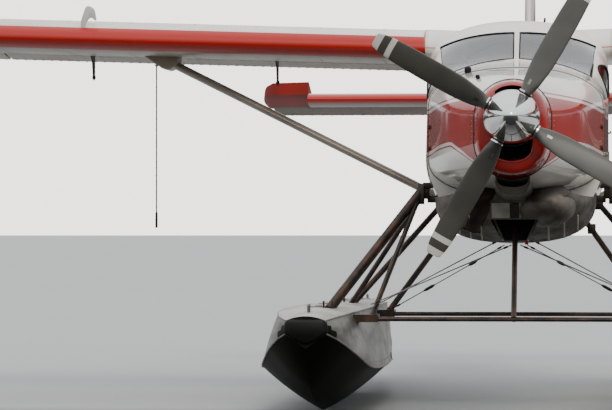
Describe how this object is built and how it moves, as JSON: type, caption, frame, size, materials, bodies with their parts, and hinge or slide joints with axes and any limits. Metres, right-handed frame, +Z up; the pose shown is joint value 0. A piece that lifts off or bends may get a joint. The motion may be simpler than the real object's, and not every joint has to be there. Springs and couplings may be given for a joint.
{
  "type": "floatplane",
  "caption": "High-winged turbine floatplane on twin floats, with a propeller, opening doors, flaps, ailerons, tail surfaces and water rudders that move.",
  "frame": {"origin": "on the floor under the keels of the floats, at the middle of the overall length and on the centre line", "axes": "+X towards the aircraft's own left wing tip, the nose towards -Y, +Z up"},
  "size_m": [17.7, 12.87, 4.75],
  "materials": {
    "white_paint": "gloss enamel, weathered",
    "red_paint": "gloss enamel",
    "airframe_skin": "painted aluminium sheet, streaked",
    "float_skin": "worn aluminium sheet with a dark bottom",
    "strut_metal": "dark weathered paint",
    "propeller_blade": "matt grey paint with pale tip bands",
    "spinner_chrome": "polished",
    "engine_block": "dark",
    "window_glass": "grey tinted",
    "panel_trim": "matt black",
    "seat_fabric": "dark woven cover",
    "rope_fibre": "twisted rope, dark with wear",
    "grip_rubber": "matt black"
  },
  "bodies": {
    "airframe": {"cabin_shell": "airframe_skin", "windscreen": "window_glass", "cabin_glass_left": "window_glass", "cabin_glass_right": "window_glass", "engine_cowl": "red_paint", "nose_bowl": "red_paint", "engine": "engine_block", "belly_fairing": "white_paint", "exhaust": "engine_block", "intake_scoop": "airframe_skin", "wing_left": "airframe_skin", "wing_right": "airframe_skin", "wing_strut_left": "airframe_skin", "wing_strut_right": "airframe_skin", "mooring_rope": "rope_fibre", "rope_grip": "grip_rubber", "stabilizer": "airframe_skin", "fin": "airframe_skin", "tail_cone": "airframe_skin", "float_left": "float_skin", "float_right": "float_skin", "front_struts_left": "strut_metal", "front_struts_right": "strut_metal", "rear_strut_left": "strut_metal", "rear_strut_right": "strut_metal", "inner_strut_left": "strut_metal", "inner_strut_right": "strut_metal", "diagonal_strut_left": "strut_metal", "diagonal_strut_right": "strut_metal", "spreader_front": "strut_metal", "spreader_rear": "strut_metal", "instrument_panel": "panel_trim", "pilot_seats": "seat_fabric", "cabin_seats_front": "seat_fabric", "cabin_seats_rear": "seat_fabric"},
    "propeller": {"propeller": "propeller_blade", "spinner": "spinner_chrome"},
    "crew_door_left": {"crew_door_left": "airframe_skin"},
    "crew_door_right": {"crew_door_right": "airframe_skin"},
    "cabin_door_left": {"cabin_door_left": "airframe_skin"},
    "cabin_door_right": {"cabin_door_right": "airframe_skin"},
    "flap_left": {"flap_left": "airframe_skin"},
    "flap_right": {"flap_right": "airframe_skin"},
    "aileron_left": {"aileron_left": "airframe_skin"},
    "aileron_right": {"aileron_right": "airframe_skin"},
    "elevators": {"elevator_left": "airframe_skin", "elevator_right": "airframe_skin"},
    "rudder": {"rudder": "airframe_skin"},
    "water_rudder_left": {"water_rudder_left": "float_skin"},
    "water_rudder_right": {"water_rudder_right": "float_skin"}
  },
  "joints": [
    {"name": "propeller_spin", "type": "hinge", "parent": "airframe", "child": "propeller", "pos_m": [0, -5.965, 2.6], "axis": [0, 1, 0], "continuous": true},
    {"name": "crew_door_left_hinge", "type": "hinge", "parent": "airframe", "child": "crew_door_left", "pos_m": [0.85, -2.997, 2.6], "axis": [0, 0, -1], "range_deg": [0, 75]},
    {"name": "crew_door_right_hinge", "type": "hinge", "parent": "airframe", "child": "crew_door_right", "pos_m": [-0.85, -2.997, 2.6], "axis": [0, 0, 1], "range_deg": [0, 75]},
    {"name": "cabin_door_left_hinge", "type": "hinge", "parent": "airframe", "child": "cabin_door_left", "pos_m": [0.85, -0.577, 2.6], "axis": [0, 0, -1], "range_deg": [0, 75]},
    {"name": "cabin_door_right_hinge", "type": "hinge", "parent": "airframe", "child": "cabin_door_right", "pos_m": [-0.85, -0.577, 2.6], "axis": [0, 0, 1], "range_deg": [0, 75]},
    {"name": "flap_left_hinge", "type": "hinge", "parent": "airframe", "child": "flap_left", "pos_m": [0.85, -1.2702, 3.3852], "axis": [-0.9995, 0, -0.0332], "range_deg": [-9, 31]},
    {"name": "flap_right_hinge", "type": "hinge", "parent": "airframe", "child": "flap_right", "pos_m": [-0.85, -1.2702, 3.3852], "axis": [-0.9995, 0, 0.0332], "range_deg": [-9, 31]},
    {"name": "aileron_left_hinge", "type": "hinge", "parent": "airframe", "child": "aileron_left", "pos_m": [0.85, -1.2702, 3.3852], "axis": [0.9995, 0, 0.0332], "range_deg": [-20, 20]},
    {"name": "aileron_right_hinge", "type": "hinge", "parent": "airframe", "child": "aileron_right", "pos_m": [-0.85, -1.2702, 3.3852], "axis": [-0.9995, 0, 0.0332], "range_deg": [-20, 20]},
    {"name": "elevator_hinge", "type": "hinge", "parent": "airframe", "child": "elevators", "pos_m": [0, 5.185, 3.225], "axis": [1, 0, 0], "range_deg": [0, 42]},
    {"name": "rudder_hinge", "type": "hinge", "parent": "airframe", "child": "rudder", "pos_m": [0, 5.595, 3.6], "axis": [0, 0, 1], "range_deg": [-25, 25]},
    {"name": "water_rudder_left_hinge", "type": "hinge", "parent": "airframe", "child": "water_rudder_left", "pos_m": [1.74, 2.47, 0.6], "axis": [0, 0, 1], "range_deg": [-30, 30]},
    {"name": "water_rudder_right_hinge", "type": "hinge", "parent": "airframe", "child": "water_rudder_right", "pos_m": [-1.74, 2.47, 0.6], "axis": [0, 0, 1], "range_deg": [-30, 30]}
  ],
  "couplings": [
    {"joint": "flap_right_hinge", "follows": "flap_left_hinge", "ratio": 1},
    {"joint": "aileron_right_hinge", "follows": "aileron_left_hinge", "ratio": 1},
    {"joint": "water_rudder_right_hinge", "follows": "water_rudder_left_hinge", "ratio": 1}
  ]
}
